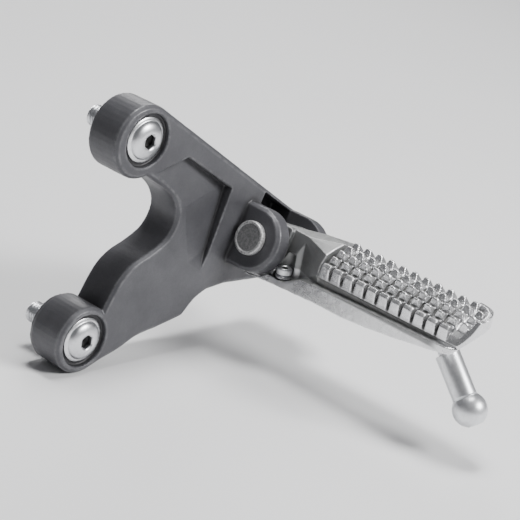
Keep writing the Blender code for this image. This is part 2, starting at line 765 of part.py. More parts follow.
def make_spring_screw(material):
    top = EYE_CENTRE[2] + WIRE_R + GAP + 3.0
    seat = EYE_CENTRE[2] + WIRE_R + GAP
    profile = [
        (0, top),
        (3.1, top),
        (3.6, top - 0.5),
        (3.6, seat),
        (1.6, seat),
        (1.6, SCREW_END),
        (0, SCREW_END),
    ]
    frame = Matrix.Translation((EYE_CENTRE[0], EYE_CENTRE[1], 0))
    screw = turned("spring_screw", profile, frame, material, sides=24)
    socket = prism("spring_screw_socket", hexagon(3.0), top - 1.6, top + 5, frame)
    combine(screw, "DIFFERENCE", socket)


def feeler_frame():
    """Local z runs down the feeler from its root, local x is aft."""
    direction = Vector((0, -math.sin(FEELER_LEAN), -math.cos(FEELER_LEAN)))
    y_axis = direction.cross(Vector((1, 0, 0)))
    return frame_at(FEELER_ROOT, (1, 0, 0), y_axis)


def make_feeler(material):
    """A steel bolt that grounds before the peg does, with a round end and a hex socket in it."""
    ball = [
        (BALL_R * math.cos(a), FEELER_LONG + BALL_R * math.sin(a))
        for a in (math.radians(step) for step in (66, 50, 34, 18, 2, -14, -30, -44))
    ]
    neck_z = FEELER_LONG - math.sqrt(BALL_R**2 - FEELER_R**2)
    profile = [
        (0, ball[0][1]),
        *ball,
        (FEELER_R, neck_z),
        (FEELER_R, FEELER_SEAT),
        (FEELER_THREAD_R, FEELER_SEAT),
        (FEELER_THREAD_R, -10.0),
        (0, -10.0),
    ]
    feeler = turned("feeler_bolt", profile, feeler_frame(), material, sides=32)
    socket = prism("feeler_socket", hexagon(5.0), FEELER_LONG + 3.0, FEELER_LONG + 12, feeler_frame())
    combine(feeler, "DIFFERENCE", socket)


def settle(obj):
    """Gives a finished piece its evaluated mesh, shaded smooth with its real edges sharp."""
    graph = bpy.context.evaluated_depsgraph_get()
    mesh = bpy.data.meshes.new_from_object(obj.evaluated_get(graph))
    placed = obj.matrix_world.copy()
    name = obj.name
    if obj.type == "CURVE":
        bpy.data.objects.remove(obj, do_unlink=True)
        obj = bpy.data.objects.new(name, mesh)
        bpy.context.scene.collection.objects.link(obj)
        obj.matrix_world = placed
    else:
        obj.modifiers.clear()
        obj.data = mesh
    mesh.name = name
    mesh.shade_smooth()
    mesh.set_sharp_from_angle(angle=math.radians(32))


def main():
    clear_scene()
    cast_dark = finish_material("dark_cast_aluminium", (0.09, 0.09, 0.095), 0.5, 0.3)
    cast_bright = finish_material("bright_cast_aluminium", (0.55, 0.55, 0.56), 0.35, 0.9)
    zinc = finish_material("zinc_plated_steel", (0.62, 0.62, 0.63), 0.3, 1.0)
    phosphate = finish_material("phosphated_steel", (0.12, 0.12, 0.12), 0.45, 0.8)
    spring_steel = finish_material("spring_steel", (0.4, 0.4, 0.42), 0.3, 1.0)
    make_bracket(cast_dark)
    make_bolts(zinc)
    make_pin(phosphate, zinc, zinc)
    make_peg(cast_bright)
    make_spring(spring_steel)
    make_spring_screw(zinc)
    make_feeler(zinc)
    bpy.context.view_layer.update()
    pieces = [obj for obj in bpy.context.scene.collection.objects if not obj.hide_render]
    for piece in pieces:
        settle(piece)


main()
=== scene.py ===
import json
import math

import bmesh
import bpy
import numpy as np
from mathutils import Matrix, Vector, noise


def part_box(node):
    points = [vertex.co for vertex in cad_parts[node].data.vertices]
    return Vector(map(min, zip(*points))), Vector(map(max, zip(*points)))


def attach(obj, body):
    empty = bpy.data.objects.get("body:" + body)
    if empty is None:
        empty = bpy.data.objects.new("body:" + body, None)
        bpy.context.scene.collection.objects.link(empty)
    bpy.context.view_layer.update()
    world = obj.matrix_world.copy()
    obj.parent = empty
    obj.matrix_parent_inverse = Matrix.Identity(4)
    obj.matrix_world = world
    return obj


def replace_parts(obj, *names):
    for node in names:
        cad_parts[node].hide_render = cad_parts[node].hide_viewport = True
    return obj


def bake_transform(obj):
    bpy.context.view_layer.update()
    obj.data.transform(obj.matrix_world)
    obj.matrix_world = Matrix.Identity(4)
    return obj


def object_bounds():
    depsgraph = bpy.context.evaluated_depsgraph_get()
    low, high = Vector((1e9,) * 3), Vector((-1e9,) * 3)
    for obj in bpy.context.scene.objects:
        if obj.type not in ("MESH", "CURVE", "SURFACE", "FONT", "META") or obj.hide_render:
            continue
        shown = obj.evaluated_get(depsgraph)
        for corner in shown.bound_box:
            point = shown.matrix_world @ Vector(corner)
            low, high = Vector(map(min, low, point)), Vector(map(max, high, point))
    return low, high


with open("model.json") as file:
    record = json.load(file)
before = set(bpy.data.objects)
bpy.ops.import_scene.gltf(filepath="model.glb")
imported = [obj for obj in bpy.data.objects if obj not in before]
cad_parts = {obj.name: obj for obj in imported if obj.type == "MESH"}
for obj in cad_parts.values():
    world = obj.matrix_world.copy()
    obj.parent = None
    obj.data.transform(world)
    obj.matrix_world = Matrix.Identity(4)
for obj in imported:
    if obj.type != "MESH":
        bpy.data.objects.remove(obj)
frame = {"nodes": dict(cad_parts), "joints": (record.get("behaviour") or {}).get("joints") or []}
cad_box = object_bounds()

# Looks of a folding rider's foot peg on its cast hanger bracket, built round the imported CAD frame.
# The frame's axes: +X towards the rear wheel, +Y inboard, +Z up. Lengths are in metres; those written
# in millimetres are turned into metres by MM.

MM = 0.001
SEED_OFFSET = Vector((0.31, 0.17, 0.53))  # keeps the noise patterns off the origin's lattice point

# Cast pieces
BRACKET_VOXEL = 0.42 * MM
PEG_VOXEL = 0.34 * MM
WIRE_VOXEL = 0.2 * MM
WAVINESS = 0.05 * MM
ROUNDING_PASS = [0.5, -0.52]  # smooths and swells by turns, so that a piece keeps its size
LUG_EASE = 0.014  # share of its width by which the hinge lug is narrowed
LUG_REACH = (13 * MM, 16 * MM)  # from the hinge axis, between which the easing fades

# Edge and height marks: the smoothing that they're measured from, and the stand-off of a full mark
NEAR_PASSES = [0.6] * 12
FAR_PASSES = [0.9] * 90
EDGE_FULL = 0.16 * MM
HEIGHT_FULL = 0.7 * MM

# Where the peg is rubbed, and where dirt and painted shade darken it: the start and end of each fade,
# outboard or down from the origin
TREAD_INBOARD_END = (66 * MM, 71 * MM)
TREAD_FOOT = (52 * MM, 55.5 * MM)
BLOCKS_FOOT = (53.6 * MM, 54.6 * MM)
FLANGE_TOP = (58 * MM, 59 * MM)
FLANGE_UNDER_EAR = (40 * MM, 75 * MM)
TIP_RIM = (140 * MM, 143.5 * MM)
TIP_RUBBED = (18 * MM, 12 * MM)  # inboard from the tip

# Turned pieces
TURN_STEPS = 96
KNURL_STEPS = 144
FILLET_STEPS = 4

# Mounting bolts
DOME_R = 8.7 * MM
MOUNT_SHANK_R = 5 * MM
MOUNT_SOCKET = (6 * MM, 3.4 * MM)  # across flats and depth
MOUNT_PITCH = 1.5 * MM
FLANGE_HIGH = 1.3 * MM
HEAD_HIGH = 4.2 * MM

# Hinge pin
PIN_SHANK_R = 4.9 * MM
PIN_HEAD_HIGH = 2.7 * MM
PIN_DISH = 0.35 * MM
TOOL_RINGS = 22

# Feeler bolt
FEELER_SOCKET = (5 * MM, 4.2 * MM)
FEELER_SHOULDER = 18.2 * MM  # from the root to where the rod begins
FEELER_CORE_R = 3.8 * MM
FEELER_PITCH = 1.25 * MM
BALL_TOP = 66  # degrees above the ball's equator where its end is cut flat
BALL_STEPS = 18

# Spring screw
SPRING_HEAD_HIGH = 3.0 * MM
SPRING_SHANK_R = 1.6 * MM
SPRING_SOCKET = (3 * MM, 1.6 * MM)
KNURL_DEEP = 0.12 * MM
KNURL_LINES = 36

# Stage: the floor, the studio's dim surround, and area lights as place from the object, watts and size
FLOOR_REACH = 6.0
FLOOR_GAP = 0.2 * MM
SURROUND = (0.95, 0.96, 1.0, 1.0)
SURROUND_STRENGTH = 0.13
LIGHTS = {
    "key": ((0.45, -0.95, 0.75), 19.0, (0.5, 0.4)),
    "top": ((0.1, 0.15, 1.2), 15.0, (0.35, 0.35)),
    "rim": ((0.75, 0.85, 0.6), 4.0, (0.4, 0.6)),
}

# Camera: where it stands and which way its top points
CAMERA_PLACE = Vector((-0.616, -0.613, 0.269))
CAMERA_UP = Vector((0.21853, 0.43801, 0.87201))
FRAME_FILL = 0.90  # how much of the picture's width the object takes


# ---------------------------------------------------------------- frame and meshes

joint = frame["joints"][0]
hinge_z = Vector(joint["axis"]).normalized()
hinge_x = Vector((0, -1, 0))
hinge_y = hinge_z.cross(hinge_x)
hinge_turn = Matrix((hinge_x, hinge_y, hinge_z)).transposed()
HINGE = Matrix.Translation(Vector(joint["pos_m"])) @ hinge_turn.to_4x4()


def axis_frame(origin, z_axis):
    """A frame whose z runs along an axis, with x kept as near world X as it can be."""
    z_axis = Vector(z_axis).normalized()
    x_axis = (Vector((1, 0, 0)) - z_axis * z_axis.x).normalized()
    turn = Matrix((x_axis, z_axis.cross(x_axis), z_axis)).transposed()
    return Matrix.Translation(Vector(origin)) @ turn.to_4x4()


def node_points(node):
    """A CAD node's distinct corner points, as an array."""
    mesh = frame["nodes"][node].data
    points = np.empty(len(mesh.vertices) * 3, np.float32)
    mesh.vertices.foreach_get("co", points)
    return np.unique(np.round(points.reshape(-1, 3), 6), axis=0)  # to the thousandth of a millimetre


def about_axis(points, origin, direction):
    """How far each point lies along an axis, and how far from it."""
    away = points - np.array(origin)
    along = away @ np.array(direction)
    return along, np.linalg.norm(away - along[:, None] * np.array(direction), axis=1)


def put(name, vertices, faces, material, body, wear_and_shade):
    """An object from its points and faces, with one value for each vertex: 1 on a worn outer edge, and
    below 0 inside a socket, where it paints shade.
    """
    mesh = bpy.data.meshes.new(name)
    mesh.from_pydata(vertices, [], faces)
    mesh.update()
    store(mesh, "edge", wear_and_shade)
    return show(name, mesh, material, body)


def show(name, mesh, material, body):
    """A smooth object of one material and slot. With no body, it is left unattached."""
    mesh.materials.clear()
    mesh.materials.append(material)
    mesh.shade_smooth()
    obj = bpy.data.objects.new(name, mesh)
    bpy.context.scene.collection.objects.link(obj)
    if body:
        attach(obj, body)
    return obj


def store(mesh, name, values):
    attribute = mesh.attributes.new(name, "FLOAT", "POINT")
    attribute.data.foreach_set("value", np.asarray(values, np.float32))


# ---------------------------------------------------------------- fine surfaces from the CAD solids


def fine_mesh(node, voxel):
    """A CAD node's solid as a new mesh of small even quads."""
    bm = bmesh.new()
    bm.from_mesh(frame["nodes"][node].data)
    bmesh.ops.remove_doubles(bm, verts=bm.verts, dist=1e-6)
    mesh = bpy.data.meshes.new("coarse")
    bm.to_mesh(mesh)
    bm.free()
    obj = bpy.data.objects.new("coarse", mesh)
    bpy.context.scene.collection.objects.link(obj)
    remesh = obj.modifiers.new("remesh", "REMESH")
    remesh.mode = "VOXEL"
    remesh.voxel_size = voxel
    graph = bpy.context.evaluated_depsgraph_get()
    fine = bpy.data.meshes.new_from_object(obj.evaluated_get(graph))
    bpy.data.objects.remove(obj, do_unlink=True)
    return fine


def positions(mesh):
    points = np.empty(len(mesh.vertices) * 3, np.float32)
    mesh.vertices.foreach_get("co", points)
    return points.reshape(-1, 3).astype(float)


def edge_pairs(mesh):
    pairs = np.empty(len(mesh.edges) * 2, np.int32)
    mesh.edges.foreach_get("vertices", pairs)
    return pairs.reshape(-1, 2)


def spread(points, pairs, weights):
    """Moves each point, or value, towards the mean of its neighbours by each weight in turn."""
    first, second = pairs.T
    size = len(points)
    count = np.bincount(pairs.ravel(), minlength=size)
    columns = points.reshape(size, -1).copy()
    for weight in weights:
        for axis in range(columns.shape[1]):
            column = columns[:, axis]
            total = np.bincount(first, column[second], size)
            total += np.bincount(second, column[first], size)
            columns[:, axis] = column + weight * (total / count - column)
    return columns.reshape(points.shape)


def normals_of(mesh):
    normals = np.empty(len(mesh.vertices) * 3, np.float32)
    mesh.vertex_normals.foreach_get("vector", normals)
    return normals.reshape(-1, 3).astype(float)


def relief(points, size, octaves=3):
    """Smooth random values round zero, with features of a given size."""
    scale = 1.0 / size
    return np.array(
        [noise.fractal(Vector(point) * scale + SEED_OFFSET, 1.0, 2.0, octaves) for point in points]
    )


def cast_piece(
    name, node, body, material, voxel, rounding, waviness=0.0, wave_size=MM, marks=None, ease=None
):
    """Stands for a CAD node with rounded edges and a faint unevenness, and marks edges and hollows.

    marks names further surface values, each with its rule, which turns points, normals and heights
    into values from 0 to 1. ease is a rule that moves the rounded points a little before the marks.
    """
    mesh = fine_mesh(node, voxel)
    pairs = edge_pairs(mesh)
    points = spread(positions(mesh), pairs, ROUNDING_PASS * rounding)
    if ease:
        points = ease(points)
    mesh.vertices.foreach_set("co", points.astype(np.float32).ravel())
    mesh.update()
    normals = normals_of(mesh)
    narrow = np.einsum("ij,ij->i", points - spread(points, pairs, NEAR_PASSES), normals)
    wide = np.einsum("ij,ij->i", points - spread(points, pairs, FAR_PASSES), normals)
    if waviness:
        bump = relief(points, wave_size)[:, None]
        waved = points + normals * bump * waviness
        mesh.vertices.foreach_set("co", waved.astype(np.float32).ravel())
    store(mesh, "edge", np.clip(narrow / EDGE_FULL, -1, 1))
    height = np.clip(wide / HEIGHT_FULL, -1, 1)
    store(mesh, "height", height)
    for label, rule in (marks or {}).items():
        store(mesh, label, rule(points, normals, height))
    mesh.name = name
    mesh.update()
    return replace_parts(show(name, mesh, material, body), node)


# ---------------------------------------------------------------- turned pieces


def filleted(profile, radius, steps=FILLET_STEPS):
    """Rings (radius, z, wear) along a profile whose corners are rounded. The outer corners are worn."""
    rings = [(*profile[0], 0.0)]
    for before, corner, after in zip(profile, profile[1:], profile[2:]):
        into = Vector(corner) - Vector(before)
        out = Vector(after) - Vector(corner)
        reach = min(radius, into.length * 0.45, out.length * 0.45)
        start = Vector(corner) - into.normalized() * reach
        end = Vector(corner) + out.normalized() * reach
        turn = into.x * out.y - into.y * out.x
        for step in range(steps + 1):
            share = step / steps
            spot = start * (1 - share) ** 2 + 2 * Vector(corner) * share * (1 - share) + end * share**2
            rings.append((spot.x, spot.y, 1.0 if turn < 0 else 0.0))
    rings.append((*profile[-1], 0.0))
    return rings


def ring_radius(ring, angle):
    radius = ring[0]
    return radius(angle) if callable(radius) else radius


def lathe(name, rings, placed, material, body, steps=TURN_STEPS, hoop=False):
    """A turned solid about local z, closed at both poles, or a hoop whose last ring joins its first.

    A ring's radius may be a function of the angle.
    """
    vertices = []
    wear_and_shade = []
    rows = []
    for ring in rings:
        pole = not callable(ring[0]) and ring[0] < 1e-9
        row = []
        for step in range(1 if pole else steps):
            angle = math.tau * step / steps
            radius = ring_radius(ring, angle)
            row.append(len(vertices))
            spot = Vector((radius * math.cos(angle), radius * math.sin(angle), ring[1]))
            vertices.append(placed @ spot)
            wear_and_shade.append(ring[2])
        rows.append(row)
    if hoop:
        rows.append(rows[0])
    faces = []
    for upper, lower in zip(rows, rows[1:]):
        for step in range(steps):
            after = (step + 1) % steps
            corners = [upper[step % len(upper)], lower[step % len(lower)]]
            corners += [lower[after % len(lower)], upper[after % len(upper)]]
            face = list(dict.fromkeys(corners))
            if len(face) > 2:
                faces.append(face)
    return put(name, vertices, faces, material, body, wear_and_shade)


def hexagonal(across_flats):
    """Radius of a hexagon by angle."""
    half_side = math.pi / 6
    return lambda angle: across_flats / 2 / math.cos((angle + half_side) % (2 * half_side) - half_side)


def hex_socket(top, across_flats, depth, chamfer):
    """Rings from the drilled bottom of a hex socket up to its chamfered mouth. Their third value runs
    from -1 at the bottom, where it paints the deepest shade, up to a worn 1 at the mouth.
    """
    half = across_flats / 2
    corner = half / math.cos(math.pi / 6)
    flats = hexagonal(across_flats)
    rings = [(0.0, top - depth - half * 0.5, -1.0), (half * 0.9, top - depth, -1.0)]
    rings += [(flats, top - depth + depth * share, share - 1.0) for share in (0.02, 0.3, 0.7)]
    mouth = corner + chamfer
    rings += [(flats, top - chamfer * 1.2, 0.6), (corner + chamfer * 0.2, top - chamfer * 0.7, 1.0)]
    return rings + [(mouth, top - chamfer * 0.1, 1.0), (mouth + chamfer * 0.3, top, 1.0)]


def thread(major, pitch, top, bottom):
    """Rings of a right-hand thread that runs out at both ends."""
    deep = 0.6 * pitch
    count = int((top - bottom) / pitch * 10)

    def ring(z):
        run_out = min(1.0, (top - z) / pitch, (z - bottom) / pitch)

        def radius(angle):
            share = (z / pitch - angle / math.tau) % 1.0
            flank = min(1.0, max(0.0, (abs(share - 0.5) * 2 - 0.1) / 0.8))
            return major - deep * (1 - flank) * max(0.0, run_out)

        return radius

    steps = [top + (bottom - top) * step / count for step in range(count + 1)]
    return [(ring(z), z, 0.0) for z in steps]


# ---------------------------------------------------------------- materials


class Graph:
    """The node tree of one material, with short calls to add nodes."""

    def __init__(self, name, metallic, specular=0.5):
        self.material = bpy.data.materials.new(name)
        self.material.use_nodes = True
        self.tree = self.material.node_tree
        self.shader = self.tree.nodes["Principled BSDF"]
        self.shader.inputs["Metallic"].default_value = metallic
        self.shader.inputs["Specular IOR Level"].default_value = specular
        self.place = self.add("ShaderNodeTexCoord").outputs["Object"]

    def add(self, kind, sockets=None, **settings):
        made = self.tree.nodes.new(kind)
        for key, value in settings.items():
            setattr(made, key, value)
        for key, value in (sockets or {}).items():
            if isinstance(value, bpy.types.NodeSocket):
                self.tree.links.new(value, made.inputs[key])
            else:
                made.inputs[key].default_value = value
        return made

    def noise(self, size, detail=3.0, roughness=0.55, stretch=(1, 1, 1)):
        """Noise from 0 to 1 with features of a size in metres."""
        scale = tuple(1.0 / (size * part) for part in stretch)
        spot = self.add("ShaderNodeMapping", {"Vector": self.place, "Scale": scale})
        sockets = {
            "Vector": spot.outputs["Vector"],
            "Scale": 1.0,
            "Detail": detail,
            "Roughness": roughness,
        }
        return self.add("ShaderNodeTexNoise", sockets).outputs["Fac"]

    def attribute(self, name):
        return self.add("ShaderNodeAttribute", attribute_name=name).outputs["Fac"]

    def ramp(self, value, low, high, to_low=0.0, to_high=1.0):
        sockets = {
            "Value": value,
            "From Min": low,
            "From Max": high,
            "To Min": to_low,
            "To Max": to_high,
        }
        return self.add("ShaderNodeMapRange", sockets).outputs["Result"]

    def math(self, operation, first, second=0.0):
        return self.add("ShaderNodeMath", {0: first, 1: second}, operation=operation).outputs["Value"]

    def mix(self, share, first, second):
        """A mix of two colours, each a tuple of three or a socket."""
        first = first if isinstance(first, bpy.types.NodeSocket) else (*first, 1.0)
        second = second if isinstance(second, bpy.types.NodeSocket) else (*second, 1.0)
        sockets = {"Factor": share, "A": first, "B": second}
        made = self.add("ShaderNodeMix", data_type="RGBA")
        for socket in made.inputs:
            wanted = socket.type == "RGBA" or socket.identifier == "Factor_Float"
            if wanted and socket.name in sockets:
                value = sockets[socket.name]
                if isinstance(value, bpy.types.NodeSocket):
                    self.tree.links.new(value, socket)
                else:
                    socket.default_value = value
        return next(socket for socket in made.outputs if socket.type == "RGBA")

    def bump(self, heights):
        """A chain of bumps from (height socket, distance in metres) pairs."""
        normal = None
        for height, distance in heights:
            sockets = {"Height": height, "Distance": distance}
            if normal is not None:
                sockets["Normal"] = normal
            normal = self.add("ShaderNodeBump", sockets).outputs["Normal"]
        self.link("Normal", normal)

    def link(self, socket, value):
        self.tree.links.new(value, self.shader.inputs[socket])


def dark_cast_material():
    """Satin dark grey coating on cast aluminium, thinner and brighter on worn edges, with painted shade
    darkening its hollows.
    """
    g = Graph("dark_coated_casting", 0.25)
    mottle = g.noise(14 * MM, 4)
    grain = g.noise(0.55 * MM, 3, 0.6)
    peel = g.noise(2.2 * MM, 2)
    edge = g.attribute("edge")
    height = g.attribute("height")
    colour = g.mix(g.ramp(mottle, 0.3, 0.7), (0.080, 0.080, 0.088), (0.106, 0.106, 0.115))
    colour = g.mix(g.ramp(grain, 0.35, 0.7, 0.0, 0.35), colour, (0.050, 0.050, 0.056))
    # painted shade: the casting's hollows darken towards near-black
    colour = g.mix(g.ramp(height, -0.15, -0.9, 0.0, 0.6), colour, (0.022, 0.021, 0.021))
    worn = g.math("MULTIPLY", g.ramp(edge, 0.25, 0.9), g.ramp(g.noise(4 * MM, 6, 0.75), 0.40, 0.62))
    colour = g.mix(g.math("MULTIPLY", worn, 0.35), colour, (0.30, 0.30, 0.31))
    g.link("Base Color", colour)
    rough = g.ramp(g.noise(6 * MM, 5, 0.6), 0.3, 0.7, 0.40, 0.52)
    g.link("Roughness", g.math("SUBTRACT", rough, g.math("MULTIPLY", worn, 0.14)))
    g.bump([(peel, 0.035 * MM), (grain, 0.030 * MM)])
    return g.material


def bright_cast_material():
    """Bare cast aluminium: grey skin, dirt and painted shade in the hollows, bright where boots and the
    road rub it.
    """
    g = Graph("bright_casting", 0.9)
    mottle = g.noise(9 * MM, 5, 0.6)
    grain = g.noise(0.45 * MM, 3, 0.65)
    peel = g.noise(1.8 * MM, 3)
    edge = g.attribute("edge")
    height = g.attribute("height")
    rubbed = g.attribute("rubbed")
    skin = g.mix(g.ramp(mottle, 0.3, 0.7), (0.27, 0.275, 0.275), (0.36, 0.362, 0.36))
    bare = g.mix(g.ramp(mottle, 0.3, 0.7), (0.70, 0.70, 0.71), (0.82, 0.82, 0.83))
    colour = g.mix(g.ramp(grain, 0.4, 0.75, 0.0, 0.22), skin, (0.19, 0.19, 0.19))
    colour = g.mix(rubbed, colour, bare)
    patches = g.ramp(g.noise(2.4 * MM, 4), 0.3, 0.6, 0.55, 1.0)
    # dirt and painted shade: hollows darken, most between the teeth
    dirt_and_shade = g.math("MULTIPLY", g.ramp(height, 0.0, -0.62), patches)
    dirt_and_shade = g.math("MULTIPLY", dirt_and_shade, g.attribute("dirt_and_shade_mask"))
    colour = g.mix(g.math("MULTIPLY", dirt_and_shade, 0.88), colour, (0.050, 0.048, 0.046))
    worn = g.math("MULTIPLY", g.ramp(edge, 0.35, 0.95), g.ramp(g.noise(1.6 * MM, 5, 0.7), 0.3, 0.55))
    worn = g.math("MULTIPLY", worn, g.ramp(rubbed, 0.0, 1.0, 0.35, 1.0))
    colour = g.mix(g.math("MULTIPLY", worn, 0.85), colour, (0.90, 0.90, 0.91))
    g.link("Base Color", colour)
    rough = g.ramp(g.noise(4 * MM, 5, 0.6), 0.3, 0.7, 0.40, 0.52)
    rough = g.math("SUBTRACT", rough, g.math("MULTIPLY", g.math("MAXIMUM", worn, rubbed), 0.2))
    g.link("Roughness", g.math("ADD", rough, g.math("MULTIPLY", dirt_and_shade, 0.25)))
    g.bump([(peel, 0.05 * MM), (grain, 0.035 * MM)])
    return g.material


def plated_material(name, light, dark, roughness, tint_size=3 * MM, metallic=1.0):
    """Plated steel: faint clouding, fine scratches, bright rubbed edges, and painted shade darkening
    sockets and hollows, deepest at their bottoms.
    """
    g = Graph(name, metallic)
    cloud = g.noise(tint_size, 4, 0.6)
    scratch = g.noise(0.5 * MM, 4, 0.7, stretch=(1, 1, 0.12))
    speck = g.noise(0.22 * MM, 2)
    edge = g.attribute("edge")
    colour = g.mix(g.ramp(cloud, 0.3, 0.7), dark, light)
    colour = g.mix(g.ramp(speck, 0.62, 0.8, 0.0, 0.3), colour, tuple(part * 0.55 for part in dark))
    # painted shade: sockets and hollows darken towards near-black, deepest at their bottoms
    colour = g.mix(g.ramp(edge, -0.05, -0.7, 0.0, 0.93), colour, (0.02, 0.019, 0.018))
    worn = g.math("MULTIPLY", g.ramp(edge, 0.0, 1.0), g.ramp(g.noise(0.9 * MM, 4, 0.7), 0.35, 0.6))
    colour = g.mix(g.math("MULTIPLY", worn, 0.6), colour, (0.88, 0.88, 0.88))
    g.link("Base Color", colour)
    rough = g.ramp(scratch, 0.3, 0.7, roughness - 0.05, roughness + 0.09)
    rough = g.math("ADD", rough, g.ramp(edge, -0.05, -0.7, 0.0, 0.3))
    g.link("Roughness", g.math("SUBTRACT", rough, g.math("MULTIPLY", worn, 0.08)))
    g.bump([(scratch, 0.006 * MM), (speck, 0.004 * MM)])
    return g.material


DARK_CAST = dark_cast_material()
BRIGHT_CAST = bright_cast_material()
ZINC = plated_material("zinc_plate", (0.80, 0.81, 0.83), (0.68, 0.69, 0.71), 0.33)
DARK_STEEL = plated_material(
    "phosphated_steel", (0.30, 0.30, 0.30), (0.14, 0.14, 0.145), 0.5, tint_size=1.1 * MM, metallic=0.5
)
SATIN_ZINC = plated_material(
    "satin_zinc", (0.82, 0.83, 0.85), (0.68, 0.69, 0.71), 0.36, tint_size=2 * MM, metallic=0.85
)
SPRING_STEEL = plated_material("spring_steel", (0.42, 0.42, 0.44), (0.28, 0.28, 0.30), 0.30)


# ---------------------------------------------------------------- pieces


def make_mount_bolt(label):
    """A flanged button-head bolt with a raised centre, a hex socket and a threaded shank."""
    node = f"{label}_mount_bolt"
    low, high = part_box(node)
    middle = (low + high) / 2
    placed = axis_frame((middle.x, 0, middle.z), (0, -1, 0))
    top = -low.y
    end = -high.y
    flange_r = (high.x - low.x) / 2
    seat = top - HEAD_HIGH
    rim = seat + FLANGE_HIGH
    steepest, *gentler = (math.radians(degrees) for degrees in (62, 48, 34, 20, 6))
    dome = [
        (DOME_R * math.cos(turn), rim + (top - rim) * math.sin(turn) / math.sin(steepest), 0.2)
        for turn in (steepest, *gentler)
    ]
    shank_r = MOUNT_SHANK_R
    chamfer = 0.9 * MM
    rings = hex_socket(top - 0.05 * MM, *MOUNT_SOCKET, 0.25 * MM)
    skirt = filleted(
        [
            (DOME_R + 0.1 * MM, rim + 0.1 * MM),
            (flange_r - chamfer, rim - 0.05 * MM),
            (flange_r, rim - chamfer / 2),
            (flange_r, seat),
            (shank_r, seat),
            (shank_r, seat - 7 * MM),
        ],
        0.25 * MM,
    )
    tail = filleted([(shank_r, end + chamfer), (shank_r - chamfer, end), (0.0, end)], 0.2 * MM)
    rings += dome + skirt + thread(shank_r, MOUNT_PITCH, seat - 8 * MM, end + chamfer) + tail
    bolt = lathe(f"{label}_bolt", rings, placed, ZINC, "bracket")
    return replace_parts(bolt, node)


def make_clevis_pin():
    """The hinge pin: a low turned head with fine tool rings, and a chamfered tail past the washer."""
    along, across = about_axis(node_points("clevis_pin"), HINGE.translation, hinge_z)
    top = along.max()
    tail = along.min()
    head_r = across.max()
    shank_r = PIN_SHANK_R
    seat = top - PIN_HEAD_HIGH
    dish = top - PIN_DISH
    ripple = [
        (head_r * 0.78 * step / TOOL_RINGS, dish + 0.03 * MM * math.cos(step * math.pi), 0.0)
        for step in range(1, TOOL_RINGS)
    ]
    profile = [
        (head_r * 0.79, dish),
        (head_r * 0.84, top),
        (head_r - 0.55 * MM, top),
        (head_r, top - 0.6 * MM),
        (head_r, seat),
        (shank_r, seat),
        (shank_r, tail + 0.8 * MM),
        (shank_r - 0.8 * MM, tail),
        (0.0, tail),
    ]
    rings = [(0.0, dish, 0.0), *ripple, *filleted(profile, 0.22 * MM)]
    pin = lathe("hinge_pin", rings, HINGE, DARK_STEEL, "bracket")
    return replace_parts(pin, "clevis_pin")


def make_feeler():
    """The feeler bolt: a plain rod with a ball end and a hex socket in it."""
    points = node_points("feeler_bolt")
    centre = points.mean(axis=0)
    _, _, axes = np.linalg.svd(points - centre)
    direction = axes[0] if axes[0][2] < 0 else -axes[0]
    along, across = about_axis(points, centre, direction)
    placed = axis_frame(centre, direction)
    ball_r = across.max()
    root = along.min()
    end = along.max()
    shoulder = root + FEELER_SHOULDER
    rod_r = across[(along > shoulder - 0.2 * MM) & (along < end - 15 * MM)].max()
    centre_z = end - ball_r * math.sin(math.radians(BALL_TOP))
    socket = hex_socket(end - 0.02 * MM, *FEELER_SOCKET, 0.3 * MM)
    highest = math.radians(BALL_TOP - 1)
    lowest = -math.acos(rod_r / ball_r)
    ball = []
    for step in range(BALL_STEPS + 1):
        angle = highest + (lowest - highest) * step / BALL_STEPS
        ball.append((ball_r * math.cos(angle), centre_z + ball_r * math.sin(angle), 0.15))
    neck = ball[-1][1]
    core_r = FEELER_CORE_R
    rod = filleted(
        [
            (rod_r + 0.05 * MM, neck),
            (rod_r, neck - 1.2 * MM),
            (rod_r, shoulder),
            (core_r, shoulder),
            (core_r, root + 16.0 * MM),
        ],
        0.4 * MM,
    )
    tail = filleted([(core_r, root + 0.7 * MM), (core_r - 0.7 * MM, root), (0.0, root)], 0.2 * MM)
    turns = thread(core_r + 0.1 * MM, FEELER_PITCH, root + 15.5 * MM, root + 0.8 * MM)
    rings = socket + ball + rod + turns + tail
    feeler = lathe("feeler", rings, placed, SATIN_ZINC, "peg")
    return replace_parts(feeler, "feeler_bolt")


def make_spring_screw():
    """The little cap screw that holds the spring's eye, with a knurled head."""
    low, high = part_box("spring_screw")
    middle = (low + high) / 2
    placed = Matrix.Translation((middle.x, middle.y, 0))
    head_r = (high.x - low.x) / 2
    top = high.z
    seat = top - SPRING_HEAD_HIGH
    shank_r = SPRING_SHANK_R

    def knurl(angle):
        return head_r - KNURL_DEEP * abs(math.sin(angle * KNURL_LINES / 2))

    rings = hex_socket(top, *SPRING_SOCKET, 0.15 * MM)
    rings += filleted([(2.6 * MM, top), (3.1 * MM, top), (head_r - 0.1 * MM, top - 0.5 * MM)], 0.1 * MM)
    rings += [(knurl, top - 0.6 * MM - step * 0.35 * MM, 0.3) for step in range(7)]
    shank = [(head_r - 0.15 * MM, seat), (shank_r, seat), (shank_r, low.z), (0.0, low.z)]
    rings += filleted(shank, 0.1 * MM)
    screw = lathe("spring_cap_screw", rings, placed, ZINC, "peg", steps=KNURL_STEPS)
    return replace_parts(screw, "spring_screw")


